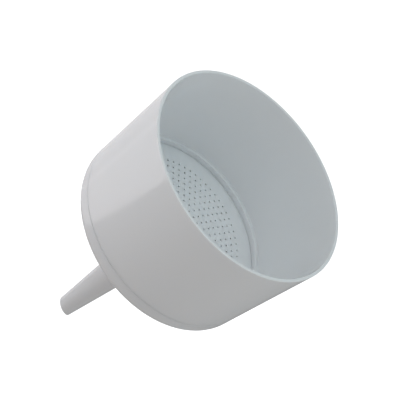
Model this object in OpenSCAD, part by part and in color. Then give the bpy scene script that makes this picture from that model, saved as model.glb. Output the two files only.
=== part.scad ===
// Plastic Buchner funnel in three lift-apart pieces: a bowl with a stepped bottom,
// a loose perforated filter plate, and a base with a tapered stem.
// The stem's tip is cut at a slant. The origin is where that cut crosses the axis, and +Z points
// up out of the bowl.

/* [Bowl] */
// Outside diameter over the rim
rim_od = 212; // [204:1:216]
// Thickness of the wall at the rim
rim_wall = 3; // [2.6:0.1:3.6]
// Height from the middle of the tip's slanted cut to the rim
total_height = 305.5; // [285:0.5:335]
// Depth of the bowl from the rim down to the ledge
ledge_depth = 103; // [80:1:110]
// Draft of the outer wall from the vertical, in degrees
outer_draft = 1.9; // [1.5:0.1:2.1]
// Draft of the inner wall from the vertical, in degrees
inner_draft = 3.3; // [2.8:0.1:3.5]
// Height of the step between the ledge and the parting line
step_height = 6; // [5:0.5:8]
// Length of the spigot that plugs into the base
spigot_length = 10; // [8:0.5:11]
// Outside diameter of the spigot
spigot_od = 194; // [192:0.5:195]
// Rounding of the rim's edges
rim_round = 0.6; // [0.3:0.1:1]
// Fillet where the wall meets the ledge
ledge_fillet = 0.8; // [0.4:0.1:1.5]
// Rounding of both outer edges at the parting line
parting_round = 0.5; // [0.4:0.1:1.2]

/* [Filter plate] */
// Diameter of the recess that holds the plate and a 185 mm filter paper
recess_d = 186; // [182:0.5:187]
// Depth of the plate's face below the ledge
recess_depth = 6; // [4:0.5:7]
// Thickness of the perforated plate
plate_thickness = 4; // [3:0.5:4.5]
// Gap between the plate's edge and the recess, on each side
plate_gap = 0.2; // [0.1:0.1:0.5]
// Width of the shelf that carries the plate's edge
shelf_width = 5; // [3:0.5:6]
// Number of rings of holes around the centre hole
hole_rings = 11; // [6:1:11]
// Distance from one ring of holes to the next
ring_pitch = 6.75; // [5:0.05:6.9]
// Diameter of each drain hole
hole_d = 2; // [1.6:0.1:2.8]
// Angle at which every ring of holes starts, in degrees
hole_start = 10.5; // [0:0.5:60]
// Height of the stiffening rings under the plate
rib_height = 6; // [3:0.5:7]
// Thickness of the stiffening rings and webs
rib_thickness = 2; // [1.2:0.1:2.4]
// Number of short webs outside the holes
web_count = 12; // [6:1:24]

/* [Base] */
// Thickness of the base's bottom
base_wall = 3.5; // [3:0.1:4]
// Height from the parting line down to the shoulder's corner
band_height = 16.75; // [16:0.25:22]
// Radius of the rounded shoulder
shoulder_radius = 9.5; // [7:0.5:10]
// Slope of the bottom from the horizontal, in degrees
bottom_slope = 12; // [9:0.5:16]
// Clearance between the spigot and its socket, on each side
socket_gap = 0.1; // [0.05:0.01:0.15]

/* [Stem] */
// Outside diameter at the middle of the tip's slanted cut
tip_od = 20; // [19:0.5:23]
// Slant of the tip's cut from square, in degrees
tip_slant = 30; // [0:1:45]
// Direction that the short side of the tip faces, in degrees from +X towards +Y
tip_turn = 232; // [0:1:359]
// Draft of the stem's outside from the vertical, in degrees
stem_draft = 3.45; // [2.8:0.05:3.8]
// Diameter of the straight outlet at the tip
outlet_d = 14; // [11:0.5:15]
// Length of the straight outlet from the middle of the tip's cut
outlet_length = 20; // [12:1:40]
// Thickness of the stem's wall at its root
root_wall = 3.5; // [3:0.1:4.5]
// Fillet where the stem meets the bottom
root_fillet = 6; // [3:0.5:9]

/* [Hidden] */
$fn = 96;

// Heights, from the middle of the tip's cut up
ledge_z = total_height - ledge_depth;
face_z = ledge_z - recess_depth;
shelf_z = face_z - plate_thickness;
parting_z = ledge_z - step_height;
spigot_end_z = parting_z - spigot_length;
corner_z = parting_z - band_height;

// Radii of the bowl
rim_r = rim_od / 2;
inner_rim_r = rim_r - rim_wall;
parting_r = rim_r - (total_height - parting_z) * tan(outer_draft);
ledge_r = inner_rim_r - ledge_depth * tan(inner_draft);
recess_r = recess_d / 2;
shelf_r = recess_r - shelf_width;
spigot_r = spigot_od / 2;
lead_in = 0.8;

// The base's socket, which stops short of the spigot's end
socket_r = spigot_r + socket_gap;
socket_gap_z = 0.5;
socket_z = spigot_end_z - socket_gap_z;
socket_lip = 6;
well_r = socket_r - socket_lip;
well_fillet = 2;
throat_round = 5;
corner_r = parting_r - band_height * tan(outer_draft);

// Heights of the bottom's two faces at radius r
bottom_rise = tan(bottom_slope);
bottom_lift = base_wall / cos(bottom_slope);
function outer_floor(r) = corner_z - (corner_r - r) * bottom_rise;
function inner_floor(r) = outer_floor(r) + bottom_lift;

// Outside of the stem, and where it meets the bottom
tip_r = tip_od / 2;
stem_rise = tan(stem_draft);
root_z = (outer_floor(0) + tip_r * bottom_rise) / (1 - stem_rise * bottom_rise);
root_r = tip_r + root_z * stem_rise;
outlet_r = outlet_d / 2;
throat_r = root_r - root_wall;
throat_z = inner_floor(throat_r);

// The stem is turned with some spare length below the lowest point of the slanted cut
tip_spare = 1;
blank_end_z = -tip_r * tan(tip_slant) - tip_spare;
blank_end_r = tip_r + blank_end_z * stem_rise;

// Plate: stiffening rings stand between the rings of holes, from the first to the last that has
// holes on both sides, and one more stands outside the holes, where the webs start. Their places
// are counted in ring pitches.
plate_r = recess_r - plate_gap;
first_rib = 1.5;
rib_step = 3;
edge_rib_out = 0.6;
edge_rib_r = (hole_rings + edge_rib_out) * ring_pitch;
rib_radii = [for (n = [first_rib : rib_step : hole_rings - 1]) n * ring_pitch];
web_clearance = 1;
web_outer_r = shelf_r - web_clearance;

// How far a rounding's circle reaches past the sides of its corner, so that it crosses them
// cleanly, and how far the cutter stands out past the corner, as a share of its radius
overreach = 0.002;
outreach = 0.2;

// Direction from one point to another, and half the angle of a corner p between a and b
function toward(p, q) = (q - p) / norm(q - p);
function half_angle(p, a, b) = acos(toward(p, a) * toward(p, b)) / 2;

// A circle of radius r that touches both sides of corner p: its centre, and the point
// where it touches the side that runs to a
function middle(p, a, b) = toward([0, 0], toward(p, a) + toward(p, b));
function round_centre(p, a, b, r) = p + middle(p, a, b) * r / sin(half_angle(p, a, b));
function round_foot(p, a, b, r) = p + toward(p, a) * r / tan(half_angle(p, a, b));

// What is cut from an outer corner to round it
module corner_cut(p, a, b, r) {
    difference() {
        polygon([
            p - outreach * r * middle(p, a, b),
            round_foot(p, a, b, r),
            round_foot(p, b, a, r)
        ]);
        translate(round_centre(p, a, b, r)) circle(r + overreach);
    }
}

// What is cut from an inner corner whose two feet are joined straight, to hollow its fillet
module fillet_cut(p, a, b, r) {
    translate(round_centre(p, a, b, r)) circle(r + overreach);
}

// Upper section: tapered wall, ledge, plate recess and spigot
module upper_bowl() {
    rim_outer = [rim_r, total_height];
    rim_inner = [inner_rim_r, total_height];
    parting_edge = [parting_r, parting_z];
    ledge_corner = [ledge_r, ledge_z];
    ledge_edge = [recess_r, ledge_z];
    spigot_top = [spigot_r, parting_z];
    color("whitesmoke") rotate_extrude() difference() {
        polygon([
            rim_outer,
            parting_edge,
            spigot_top,
            [spigot_r, spigot_end_z + lead_in],
            [spigot_r - lead_in, spigot_end_z],
            [shelf_r, spigot_end_z],
            [shelf_r, shelf_z],
            [recess_r, shelf_z],
            ledge_edge,
            round_foot(ledge_corner, ledge_edge, rim_inner, ledge_fillet),
            round_foot(ledge_corner, rim_inner, ledge_edge, ledge_fillet),
            rim_inner
        ]);
        corner_cut(rim_outer, rim_inner, parting_edge, rim_round);
        corner_cut(rim_inner, rim_outer, ledge_corner, rim_round);
        corner_cut(parting_edge, rim_outer, spigot_top, parting_round);
        fillet_cut(ledge_corner, ledge_edge, rim_inner, ledge_fillet);
    }
}

// Centres of the drain holes: one in the middle, then ring k with 6 k holes
module hole_pattern() {
    circle(d = hole_d);
    for (k = [1 : hole_rings], n = [0 : 6 * k - 1])
        rotate(hole_start + n * 60 / k) translate([k * ring_pitch, 0]) circle(d = hole_d);
}

// Loose filter plate with stiffening rings and short webs under it
module filter_plate() {
    color("gainsboro") {
        translate([0, 0, shelf_z]) linear_extrude(plate_thickness) difference() {
            circle(plate_r);
            hole_pattern();
        }
        translate([0, 0, shelf_z - rib_height]) linear_extrude(rib_height) {
            for (r = concat(rib_radii, edge_rib_r)) difference() {
                circle(r + rib_thickness / 2);
                circle(r - rib_thickness / 2);
            }
            for (n = [0 : web_count - 1]) rotate(n * 360 / web_count)
                translate([edge_rib_r, -rib_thickness / 2])
                    square([web_outer_r - edge_rib_r, rib_thickness]);
        }
    }
}

// What the slanted cut takes off the stem's tip: a block whose top face crosses the origin
module tip_cut() {
    rotate([0, -tip_slant, tip_turn])
        translate([-tip_od, -tip_od, -2 * tip_od]) cube(2 * tip_od);
}

// Lower section: socket, rounded shoulder, sloping bottom and tapered stem
module stem_base() {
    parting_edge = [parting_r, parting_z];
    socket_edge = [socket_r, parting_z];
    shoulder = [corner_r, corner_z];
    root = [root_r, root_z];
    blank_end = [blank_end_r, blank_end_z];
    outlet_top = [outlet_r, outlet_length];
    throat = [throat_r, throat_z];
    well = [well_r, inner_floor(well_r)];
    well_edge = [well_r, socket_z];
    color("whitesmoke") difference() {
        rotate_extrude() difference() {
            polygon([
                parting_edge,
                shoulder,
                round_foot(root, shoulder, blank_end, root_fillet),
                round_foot(root, blank_end, shoulder, root_fillet),
                blank_end,
                [outlet_r, blank_end_z],
                outlet_top,
                throat,
                round_foot(well, throat, well_edge, well_fillet),
                round_foot(well, well_edge, throat, well_fillet),
                well_edge,
                [socket_r, socket_z],
                socket_edge
            ]);
            corner_cut(parting_edge, socket_edge, shoulder, parting_round);
            corner_cut(shoulder, parting_edge, root, shoulder_radius);
            fillet_cut(root, shoulder, blank_end, root_fillet);
            corner_cut(throat, outlet_top, well, throat_round);
            fillet_cut(well, throat, well_edge, well_fillet);
        }
        tip_cut();
    }
}

upper_bowl();
filter_plate();
stem_base();
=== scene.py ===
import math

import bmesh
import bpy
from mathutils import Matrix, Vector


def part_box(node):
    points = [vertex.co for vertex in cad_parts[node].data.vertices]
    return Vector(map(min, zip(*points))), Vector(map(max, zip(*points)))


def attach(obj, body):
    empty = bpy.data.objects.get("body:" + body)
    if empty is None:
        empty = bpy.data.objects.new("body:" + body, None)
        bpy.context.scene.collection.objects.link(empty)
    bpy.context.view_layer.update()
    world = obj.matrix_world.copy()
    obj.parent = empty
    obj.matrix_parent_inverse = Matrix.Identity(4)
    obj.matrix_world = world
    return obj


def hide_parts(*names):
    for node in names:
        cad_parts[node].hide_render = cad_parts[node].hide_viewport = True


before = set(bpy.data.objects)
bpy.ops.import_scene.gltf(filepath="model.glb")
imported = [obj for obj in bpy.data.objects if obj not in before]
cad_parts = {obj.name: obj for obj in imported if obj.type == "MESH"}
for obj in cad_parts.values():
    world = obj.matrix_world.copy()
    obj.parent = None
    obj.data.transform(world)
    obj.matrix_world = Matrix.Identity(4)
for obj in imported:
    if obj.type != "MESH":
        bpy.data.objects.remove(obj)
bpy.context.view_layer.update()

# A white plastic Buchner funnel. Each of its three mouldings is rebuilt here as a clean mesh that
# rides on its CAD body: the bowl and the base are outlines turned round the axis, with a slanted
# tip on the stem, and the filter plate is a drilled disc with stiffening rings and webs under it.
# The boxes of the CAD parts give the main heights, and the values below give the rest. All lengths
# are metres, but the camera's lens and sensor are in millimetres.

MM = 0.001


# ---------------------------------------------------------------- sizes

bowl_low, bowl_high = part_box("upper_bowl")
plate_low, plate_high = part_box("filter_plate")
base_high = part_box("stem_base")[1]

# Bowl
RIM_R = 106 * MM
RIM_WALL = 3 * MM
OUTER_DRAFT = math.radians(1.9)
INNER_DRAFT = math.radians(3.3)
LEDGE_DEPTH = 103 * MM
RECESS_R = 93 * MM
SPIGOT_R = 97 * MM
LEAD_IN = 0.8 * MM
SHELF_WIDTH = 5 * MM
SHELF_R = RECESS_R - SHELF_WIDTH
RIM_ROUND = 0.6 * MM
LEDGE_FILLET = 0.8 * MM
PARTING_ROUND = 0.5 * MM
EDGE_ROUND = 0.3 * MM

# Filter plate: the ribs' places are counted in ring pitches
PLATE_R = 92.9 * MM
PLATE_THICKNESS = 4 * MM
HOLE_RINGS = 11
RING_PITCH = 6.75 * MM
HOLE_R = 1 * MM
HOLE_START = math.radians(10.5)
HOLE_ROUND = 0.15 * MM
FIRST_RIB = 1.5
RIB_STEP = 3
INNER_RIBS = 3
EDGE_RIB_OUT = 0.6
RIB_THICKNESS = 2 * MM
RIB_ROUND = 0.4 * MM
RIB_BITE = 0.2 * MM
EDGE_RIB_R = (HOLE_RINGS + EDGE_RIB_OUT) * RING_PITCH
WEB_COUNT = 12
WEB_CLEARANCE = 1 * MM
WEB_END_R = SHELF_R - WEB_CLEARANCE

# Base and stem: the tip's slanted cut crosses the axis at the frame's origin
BAND_HEIGHT = 16.75 * MM
SHOULDER_RADIUS = 9.5 * MM
BOTTOM_SLOPE = math.radians(12)
BASE_WALL = 3.5 * MM
SOCKET_GAP = 0.1 * MM
SOCKET_R = SPIGOT_R + SOCKET_GAP
SOCKET_DEPTH = 10.5 * MM
SOCKET_LIP = 6 * MM
WELL_R = SOCKET_R - SOCKET_LIP
WELL_FILLET = 2 * MM
THROAT_ROUND = 5 * MM
TIP_R = 10 * MM
TIP_SLANT = math.radians(30)
TIP_TURN = math.radians(232)
STEM_DRAFT = math.radians(3.45)
OUTLET_R = 7 * MM
OUTLET_LENGTH = 20 * MM
ROOT_WALL = 3.5 * MM
ROOT_FILLET = 6 * MM
TIP_ROUND = 0.8 * MM
OUTLET_ROUND = 0.5 * MM

rim_z = bowl_high.z
spigot_end_z = bowl_low.z
ledge_z = rim_z - LEDGE_DEPTH
face_z = plate_high.z
shelf_z = face_z - PLATE_THICKNESS
parting_z = base_high.z
parting_r = RIM_R - (rim_z - parting_z) * math.tan(OUTER_DRAFT)


# ---------------------------------------------------------------- mesh making

TURN_STEPS = 240
ARC_STEP = math.radians(9)
ARC_FEWEST = 3
LONG_STRETCH = 9 * MM
SHARP = math.radians(32)


def arc_round(corner, before, after, radius):
    """The arc that rounds a corner, as points from the side of before to the side of after."""
    to_before, to_after = (before - corner).normalized(), (after - corner).normalized()
    half = to_before.angle(to_after) / 2
    centre = corner + (to_before + to_after).normalized() * (radius / math.sin(half))
    start = (corner + to_before * (radius / math.tan(half)) - centre).normalized()
    end = (corner + to_after * (radius / math.tan(half)) - centre).normalized()
    steps = max(ARC_FEWEST, math.ceil((math.pi - 2 * half) / ARC_STEP))
    return [centre + start.slerp(end, n / steps) * radius for n in range(steps + 1)]


def outline(corners):
    """A closed outline from corners (radius, height, rounding): roundings become arcs, and long
    straight stretches are divided so that the quads stay even."""
    places = [Vector(corner[:2]) for corner in corners]
    drawn = []
    for n, corner in enumerate(corners):
        after = places[(n + 1) % len(places)]
        drawn += arc_round(places[n], places[n - 1], after, corner[2]) if corner[2] else [places[n]]
    points = []
    for here, there in zip(drawn, drawn[1:] + drawn[:1]):
        pieces = math.ceil((there - here).length / LONG_STRETCH)
        points += [here.lerp(there, n / pieces) for n in range(pieces)]
    return points


def turn_points(bm, points, steps):
    """Adds the solid that a closed outline makes when it turns about the Z axis."""
    rings = []
    for step in range(steps):
        turn = 2 * math.pi * step / steps
        rings.append([bm.verts.new((r * math.cos(turn), r * math.sin(turn), z)) for r, z in points])
    for ring, after in zip(rings, rings[1:] + rings[:1]):
        for n in range(len(points)):
            bm.faces.new((ring[n - 1], ring[n], after[n], after[n - 1]))


def mesh_of(bm, name):
    """Ends the making of a mesh, with its faces turned outwards."""
    bmesh.ops.recalc_face_normals(bm, faces=bm.faces)
    mesh = bpy.data.meshes.new(name)
    bm.to_mesh(mesh)
    bm.free()
    return mesh


def turned(name, corners):
    """The mesh of a solid of revolution about the Z axis."""
    bm = bmesh.new()
    turn_points(bm, outline(corners), TURN_STEPS)
    return mesh_of(bm, name)


def finished(name, mesh):
    """An object with smooth faces, sharp creases and normals that follow its large faces."""
    mesh.shade_smooth()
    mesh.set_sharp_from_angle(angle=SHARP)
    piece = bpy.data.objects.new(name, mesh)
    bpy.context.collection.objects.link(piece)
    normals = piece.modifiers.new("large_faces_first", "WEIGHTED_NORMAL")
    normals.keep_sharp = True
    return piece


# ---------------------------------------------------------------- bowl

def make_bowl():
    ledge_r = RIM_R - RIM_WALL - LEDGE_DEPTH * math.tan(INNER_DRAFT)
    return finished("bowl_moulding", turned("bowl_moulding", [
        (RIM_R, rim_z, RIM_ROUND),
        (parting_r, parting_z, PARTING_ROUND),
        (SPIGOT_R, parting_z, 0),
        (SPIGOT_R, spigot_end_z + LEAD_IN, 0),
        (SPIGOT_R - LEAD_IN, spigot_end_z, 0),
        (SHELF_R, spigot_end_z, EDGE_ROUND),
        (SHELF_R, shelf_z, EDGE_ROUND),
        (RECESS_R, shelf_z, 0),
        (RECESS_R, ledge_z, EDGE_ROUND),
        (ledge_r, ledge_z, LEDGE_FILLET),
        (RIM_R - RIM_WALL, rim_z, RIM_ROUND),
    ]))


# ---------------------------------------------------------------- base and stem

def slant_tip(mesh):
    """Slopes the turned stem's square end. The slope fades out at the top of the straight outlet, and
    the outside keeps to the stem's taper as it slides up or down."""
    for vert in mesh.vertices:
        share = 1 - vert.co.z / OUTLET_LENGTH
        if share <= 0:
            continue
        across = vert.co.x * math.cos(TIP_TURN) + vert.co.y * math.sin(TIP_TURN)
        rise = share * across * math.tan(TIP_SLANT)
        radius = vert.co.xy.length
        in_wall = (radius - OUTLET_R) / (TIP_R - OUTLET_R)
        spread = 1 + in_wall * rise * math.tan(STEM_DRAFT) / radius
        vert.co = (vert.co.x * spread, vert.co.y * spread, vert.co.z + rise)


def make_base():
    corner_z = parting_z - BAND_HEIGHT
    corner_r = parting_r - BAND_HEIGHT * math.tan(OUTER_DRAFT)
    rise = math.tan(BOTTOM_SLOPE)
    stem_rise = math.tan(STEM_DRAFT)
    axis_z = corner_z - corner_r * rise
    root_z = (axis_z + TIP_R * rise) / (1 - stem_rise * rise)
    root_r = TIP_R + root_z * stem_rise
    inner_axis_z = axis_z + BASE_WALL / math.cos(BOTTOM_SLOPE)
    throat_r = root_r - ROOT_WALL
    mesh = turned("base_moulding", [
        (parting_r, parting_z, PARTING_ROUND),
        (corner_r, corner_z, SHOULDER_RADIUS),
        (root_r, root_z, ROOT_FILLET),
        (TIP_R, 0, TIP_ROUND),
        (OUTLET_R, 0, OUTLET_ROUND),
        (OUTLET_R, OUTLET_LENGTH, 0),
        (throat_r, inner_axis_z + throat_r * rise, THROAT_ROUND),
        (WELL_R, inner_axis_z + WELL_R * rise, WELL_FILLET),
        (WELL_R, parting_z - SOCKET_DEPTH, EDGE_ROUND),
        (SOCKET_R, parting_z - SOCKET_DEPTH, 0),
        (SOCKET_R, parting_z, EDGE_ROUND),
    ])
    slant_tip(mesh)
    return finished("base_moulding", mesh)


# ---------------------------------------------------------------- filter plate

CIRCLE_POINTS = 20
EDGE_POINTS = 180


def circle_of(curve, x, y, radius, count, direction):
    """A closed ring of points in a flat curve; the rim and the holes run opposite ways."""
    spline = curve.splines.new("POLY")
    spline.points.add(count - 1)
    spline.use_cyclic_u = True
    for n, point in enumerate(spline.points):
        turn = direction * 2 * math.pi * n / count
        point.co = (x + radius * math.cos(turn), y + radius * math.sin(turn), 0, 1)


def drilled_disc():
    """The perforated disc: one flat filled curve with rounded edges at its rim and at every hole."""
    curve = bpy.data.curves.new("drilled_disc", "CURVE")
    curve.dimensions = "2D"
    curve.fill_mode = "BOTH"
    curve.extrude = PLATE_THICKNESS / 2 - HOLE_ROUND
    curve.bevel_depth = HOLE_ROUND
    curve.bevel_resolution = 1
    curve.offset = -HOLE_ROUND
    circle_of(curve, 0, 0, PLATE_R, EDGE_POINTS, 1)
    circle_of(curve, 0, 0, HOLE_R, CIRCLE_POINTS, -1)
    for ring in range(1, HOLE_RINGS + 1):
        for n in range(6 * ring):
            turn = HOLE_START + n * math.pi / (3 * ring)
            across = ring * RING_PITCH
            x, y = across * math.cos(turn), across * math.sin(turn)
            circle_of(curve, x, y, HOLE_R, CIRCLE_POINTS, -1)
    disc = bpy.data.objects.new("drilled_disc", curve)
    bpy.context.collection.objects.link(disc)
    mesh = bpy.data.meshes.new_from_object(disc.evaluated_get(bpy.context.evaluated_depsgraph_get()))
    bpy.data.objects.remove(disc)
    mesh.transform(Matrix.Translation((0, 0, face_z - PLATE_THICKNESS / 2)))
    return mesh


def rib_outline(inner, outer):
    """The section of a rib or a web: it bites into the disc, and its foot is rounded."""
    return outline([
        (inner, shelf_z + RIB_BITE, 0),
        (outer, shelf_z + RIB_BITE, 0),
        (outer, plate_low.z, RIB_ROUND),
        (inner, plate_low.z, RIB_ROUND),
    ])


def rib_rings():
    """The stiffening rings between the rings of holes, and the one outside them."""
    bm = bmesh.new()
    radii = [(FIRST_RIB + n * RIB_STEP) * RING_PITCH for n in range(INNER_RIBS)]
    for radius in radii + [EDGE_RIB_R]:
        points = rib_outline(radius - RIB_THICKNESS / 2, radius + RIB_THICKNESS / 2)
        turn_points(bm, points, EDGE_POINTS)
    return mesh_of(bm, "rib_rings")


def webs():
    """The short spokes between the outer stiffening ring and the shelf."""
    bm = bmesh.new()
    points = rib_outline(-RIB_THICKNESS / 2, RIB_THICKNESS / 2)
    for n in range(WEB_COUNT):
        spin = Matrix.Rotation(2 * math.pi * n / WEB_COUNT, 3, "Z")
        near = [bm.verts.new(spin @ Vector((EDGE_RIB_R, y, z))) for y, z in points]
        far = [bm.verts.new(spin @ Vector((WEB_END_R, y, z))) for y, z in points]
        bm.faces.new(near)
        bm.faces.new(far)
        for m in range(len(points)):
            bm.faces.new((near[m - 1], near[m], far[m], far[m - 1]))
    return mesh_of(bm, "webs")


def joined(name, meshes):
    """One solid from solids that bite into each other, with nothing left inside."""
    pieces = [bpy.data.objects.new(name, mesh) for mesh in meshes]
    for piece in pieces:
        bpy.context.collection.objects.link(piece)
    for added in pieces[1:]:
        union = pieces[0].modifiers.new(added.name, "BOOLEAN")
        union.operation = "UNION"
        union.solver = "EXACT"
        union.object = added
    whole = pieces[0].evaluated_get(bpy.context.evaluated_depsgraph_get())
    mesh = bpy.data.meshes.new_from_object(whole)
    for piece in pieces:
        bpy.data.objects.remove(piece)
    return mesh


def make_plate():
    return finished("plate_moulding", joined("plate", [drilled_disc(), rib_rings(), webs()]))


# ---------------------------------------------------------------- materials

# The clouds, waves and skin are counted in cells per metre
WHITE = (0.88, 0.88, 0.89)
WHITE_DEEP = (0.865, 0.865, 0.877)
CLOUDS = 9.0
CLOUD_START, CLOUD_END = 0.2, 0.8
GLOSS = 0.13
GLOSS_CHANGE = 0.02
WAVES = 30.0
WAVE_DEPTH = 0.03 * MM
WAVE_STRENGTH = 0.5
SKIN = 1400.0
SKIN_DEPTH = 0.012 * MM
SKIN_STRENGTH = 0.4
IOR = 1.49
SOFTNESS = 0.5
SOFT_COLOUR = (1.0, 0.95, 0.9)
SOFT_DEPTH = 5 * MM


def noise(tree, vector, scale, detail):
    node = tree.nodes.new("ShaderNodeTexNoise")
    node.inputs["Scale"].default_value = scale
    node.inputs["Detail"].default_value = detail
    tree.links.new(vector, node.inputs["Vector"])
    return node.outputs["Fac"]


def ramp(tree, factor, low, high):
    """A colour that runs from low to high as the factor passes through the clouds' middle range."""
    node = tree.nodes.new("ShaderNodeValToRGB")
    node.color_ramp.elements[0].position = CLOUD_START
    node.color_ramp.elements[1].position = CLOUD_END
    node.color_ramp.elements[0].color = (*low, 1.0)
    node.color_ramp.elements[1].color = (*high, 1.0)
    tree.links.new(factor, node.inputs["Fac"])
    return node.outputs["Color"]


def bump(tree, height, depth, strength):
    node = tree.nodes.new("ShaderNodeBump")
    node.inputs["Strength"].default_value = strength
    node.inputs["Distance"].default_value = depth
    tree.links.new(height, node.inputs["Height"])
    return node


def moulded_plastic(name):
    """Satin white polypropylene: faint clouding, a fine moulded skin and slow flow waves."""
    material = bpy.data.materials.new(name)
    material.use_nodes = True
    tree = material.node_tree
    shader = tree.nodes["Principled BSDF"]
    place = tree.nodes.new("ShaderNodeTexCoord").outputs["Object"]
    clouds = noise(tree, place, CLOUDS, detail=1.0)
    tree.links.new(ramp(tree, clouds, WHITE_DEEP, WHITE), shader.inputs["Base Color"])
    dull, bright = (GLOSS + GLOSS_CHANGE,) * 3, (GLOSS - GLOSS_CHANGE,) * 3
    tree.links.new(ramp(tree, clouds, dull, bright), shader.inputs["Roughness"])
    waves = bump(tree, noise(tree, place, WAVES, detail=1.0), WAVE_DEPTH, WAVE_STRENGTH)
    skin = bump(tree, noise(tree, place, SKIN, detail=2.0), SKIN_DEPTH, SKIN_STRENGTH)
    tree.links.new(waves.outputs["Normal"], skin.inputs["Normal"])
    tree.links.new(skin.outputs["Normal"], shader.inputs["Normal"])
    shader.inputs["IOR"].default_value = IOR
    shader.inputs["Subsurface Weight"].default_value = SOFTNESS
    shader.inputs["Subsurface Radius"].default_value = SOFT_COLOUR
    shader.inputs["Subsurface Scale"].default_value = SOFT_DEPTH
    return material


for make, node, body, slot in (
    (make_bowl, "upper_bowl", "bowl", "bowl_plastic"),
    (make_plate, "filter_plate", "plate", "plate_plastic"),
    (make_base, "stem_base", "base", "base_plastic"),
):
    piece = make()
    piece.data.materials.append(moulded_plastic(slot))
    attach(piece, body)
    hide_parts(node)


# ---------------------------------------------------------------- camera

AIM = Vector((-0.0076, 0.0, 0.2378))
DISTANCE = 0.978
ELEVATION = math.radians(39.43)
ROLL = math.radians(54.15)
LENS_MM = 95.0
SENSOR_MM = 36.0

toward_camera = Vector((0.0, -math.cos(ELEVATION), math.sin(ELEVATION)))
level_right = Vector((1.0, 0.0, 0.0))
level_up = toward_camera.cross(level_right)
view_right = level_right * math.cos(ROLL) + level_up * math.sin(ROLL)
view_up = toward_camera.cross(view_right)

camera_data = bpy.data.cameras.new("camera")
camera_data.lens = LENS_MM
camera_data.sensor_width = SENSOR_MM
camera = bpy.data.objects.new("camera", camera_data)
bpy.context.collection.objects.link(camera)
axes = Matrix((view_right, view_up, toward_camera)).transposed()
camera.matrix_world = Matrix.Translation(AIM + toward_camera * DISTANCE) @ axes.to_4x4()
bpy.context.scene.camera = camera


# ---------------------------------------------------------------- studio

def studio_point(right, up, near):
    """A place given as the photographer sees it, measured from the middle of the funnel."""
    return AIM + view_right * right + view_up * up + toward_camera * near


def softbox(name, at, width, height, power, colour, roll=0.0, gloss=False):
    """A rectangular lamp that faces the funnel, with its power in watts. Only one with gloss shows
    in the plastic's shine."""
    data = bpy.data.lights.new(name, "AREA")
    data.shape = "RECTANGLE"
    data.size = width
    data.size_y = height
    data.energy = power
    data.color = colour
    light = bpy.data.objects.new(name, data)
    bpy.context.collection.objects.link(light)
    back = (at - AIM).normalized()
    side = view_up.cross(back).normalized()
    facing = Matrix((side, back.cross(side), back)).transposed().to_4x4()
    light.matrix_world = Matrix.Translation(at) @ facing @ Matrix.Rotation(roll, 4, "Z")
    light.visible_camera = False
    light.visible_glossy = gloss
    return light


def fade(light, back_share):
    """Lets a lamp weaken evenly from its front edge to back_share of its strength at the back."""
    light.data.use_nodes = True
    tree = light.data.node_tree
    across = tree.nodes.new("ShaderNodeSeparateXYZ")
    tree.links.new(tree.nodes.new("ShaderNodeNewGeometry").outputs["Parametric"], across.inputs[0])
    strength = tree.nodes.new("ShaderNodeMapRange")
    strength.inputs["To Min"].default_value = back_share
    tree.links.new(across.outputs["X"], strength.inputs["Value"])
    tree.links.new(strength.outputs["Result"], tree.nodes["Emission"].inputs["Strength"])


KEY_TURN = math.radians(-27)
WARM, COOL, PLUM, TEAL = (1.0, 0.9, 0.84), (0.9, 0.98, 1.0), (1.0, 0.97, 1.0), (0.7, 0.95, 1.0)

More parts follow.
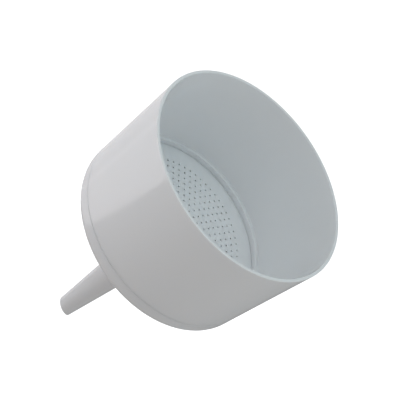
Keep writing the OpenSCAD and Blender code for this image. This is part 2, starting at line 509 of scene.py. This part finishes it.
key = softbox("key", studio_point(-1.15, 0.68, -0.15), 1.3, 1.5, 11.0, PLUM, KEY_TURN, gloss=True)
fade(key, back_share=0.25)
softbox("back_left", studio_point(-0.62, 0.36, -1.1), 1.1, 1.6, 2.8, PLUM, gloss=True)
softbox("top_front", studio_point(0.0, 0.92, 0.92), 1.0, 1.0, 3.8, COOL)
softbox("axis_front", studio_point(0.75, 0.55, 0.9), 0.8, 0.8, 0.8, TEAL)
softbox("right_front", studio_point(0.92, 0.0, 0.92), 1.0, 1.0, 2.2, TEAL)
softbox("right", studio_point(1.3, 0.0, 0.0), 1.0, 1.0, 1.4, TEAL)
softbox("low_front", studio_point(0.0, -0.92, 0.92), 1.0, 1.0, 1.35, WARM)
softbox("low_right", studio_point(0.76, -1.05, 0.1), 1.0, 1.0, 0.8, COOL)
softbox("low_left", studio_point(-0.85, -0.8, 0.55), 1.0, 1.0, 0.5, WARM)

WORLD_LIGHT = 0.3
WORLD_SEEN = 0.98

# The world lights the funnel weakly and looks nearly white to the camera
world = bpy.data.worlds.new("studio")
world.use_nodes = True
sky = world.node_tree
sky.nodes["Background"].inputs["Color"].default_value = (1.0, 1.0, 1.0, 1.0)
brightness = sky.nodes.new("ShaderNodeMapRange")
brightness.inputs["To Min"].default_value = WORLD_LIGHT
brightness.inputs["To Max"].default_value = WORLD_SEEN
seen = sky.nodes.new("ShaderNodeLightPath").outputs["Is Camera Ray"]
sky.links.new(seen, brightness.inputs["Value"])
sky.links.new(brightness.outputs["Result"], sky.nodes["Background"].inputs["Strength"])
bpy.context.scene.world = world
bpy.context.scene.view_settings.view_transform = "Standard"

FLOOR_Z = -0.6
FLOOR_SIZE = 12.0
FLOOR_GREY = (0.9, 0.9, 0.9, 1.0)
FLOOR_ROUGHNESS = 0.9
FLOOR_GLOW = 0.9

bpy.ops.mesh.primitive_plane_add(size=FLOOR_SIZE, location=(0.0, 0.0, FLOOR_Z))
floor = bpy.context.object
floor.name = "floor"
floor.visible_diffuse = False
floor.visible_glossy = False
floor_paint = bpy.data.materials.new("floor_paint")
floor_paint.use_nodes = True
floor_shader = floor_paint.node_tree.nodes["Principled BSDF"]
floor_shader.inputs["Base Color"].default_value = FLOOR_GREY
floor_shader.inputs["Roughness"].default_value = FLOOR_ROUGHNESS
floor_shader.inputs["Emission Color"].default_value = (1.0, 1.0, 1.0, 1.0)
floor_shader.inputs["Emission Strength"].default_value = FLOOR_GLOW
floor.data.materials.append(floor_paint)
